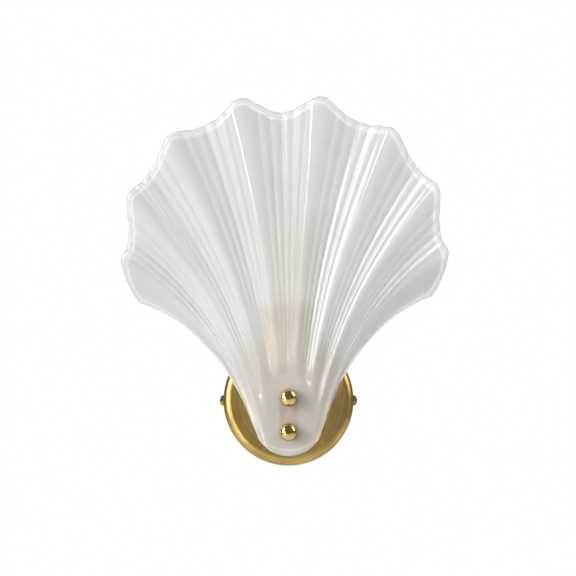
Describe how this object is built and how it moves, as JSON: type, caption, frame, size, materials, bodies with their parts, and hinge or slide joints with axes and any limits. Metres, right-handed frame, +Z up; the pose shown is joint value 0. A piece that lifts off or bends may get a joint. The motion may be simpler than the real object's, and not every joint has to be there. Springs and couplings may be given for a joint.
{
  "type": "wall sconce",
  "caption": "Wall light with a frosted scallop-shell glass shade held through its neck by domed nuts, on a round spun brass canopy, with a lampholder and bulb behind the glass.",
  "frame": {"origin": "centre of the canopy on the wall plane, midway between the wall strap's fixing slots", "axes": "+Z up along the wall, +Y into the wall, so the light stands out along -Y, +X to the right seen from the room"},
  "size_m": [0.2465, 0.1171, 0.2733],
  "materials": {
    "spun_brass": "satin, spun",
    "polished_brass": "polished",
    "plain_brass": "plain",
    "screw_brass": "bright",
    "zinc_steel": "zinc plated",
    "nickel": "nickel plated",
    "tungsten": "drawn wire",
    "frosted_glass": "frosted inside, glossy outside",
    "opal_glass": "soft white",
    "clear_glass": "clear",
    "black_glass": "glossy",
    "white_ceramic": "smooth",
    "white_plastic": "matte",
    "clear_plastic": "translucent",
    "seal_rubber": "soft, pale",
    "pad_rubber": "soft, pale",
    "lead_brown": "sleeving",
    "lead_blue": "sleeving",
    "lead_green": "sleeving"
  },
  "bodies": {
    "fixture": {"canopy": "spun_brass", "wall_seal": "seal_rubber", "wall_strap": "zinc_steel", "side_screw_left": "screw_brass", "side_screw_right": "screw_brass", "earth_screw": "screw_brass", "earth_tag": "screw_brass", "entry_nipple": "plain_brass", "entry_lock_washer": "zinc_steel", "entry_inner_nut": "plain_brass", "entry_outer_nut": "plain_brass", "entry_bush": "white_plastic", "terminal_block": "white_plastic", "terminal_barrels": "plain_brass", "terminal_screws": "zinc_steel", "terminal_fixing_screw": "zinc_steel", "shade_bracket": "plain_brass", "glass_pad": "pad_rubber", "shade_bolt_upper": "zinc_steel", "shade_bolt_lower": "zinc_steel", "bolt_sleeves": "clear_plastic", "front_washers": "clear_plastic", "cap_nut_upper": "polished_brass", "cap_nut_lower": "polished_brass", "glass_shade": "frosted_glass", "holder_nipple": "plain_brass", "holder_lock_nut": "plain_brass", "holder_cup": "spun_brass", "holder_sleeve": "spun_brass", "holder_core": "white_ceramic", "screw_shell": "nickel", "centre_contact": "plain_brass", "live_lead": "lead_brown", "neutral_lead": "lead_blue", "earth_lead": "lead_green"},
    "bulb": {"bulb_cap": "nickel", "bulb_insulator": "black_glass", "bulb_tip": "nickel", "bulb_glass": "opal_glass", "bulb_stem": "clear_glass", "bulb_filament": "tungsten"}
  },
  "joints": [
    {"name": "bulb_slide", "type": "slide", "parent": "fixture", "child": "bulb", "axis": [0, 0, 1], "range_m": [0, 0.022]}
  ]
}
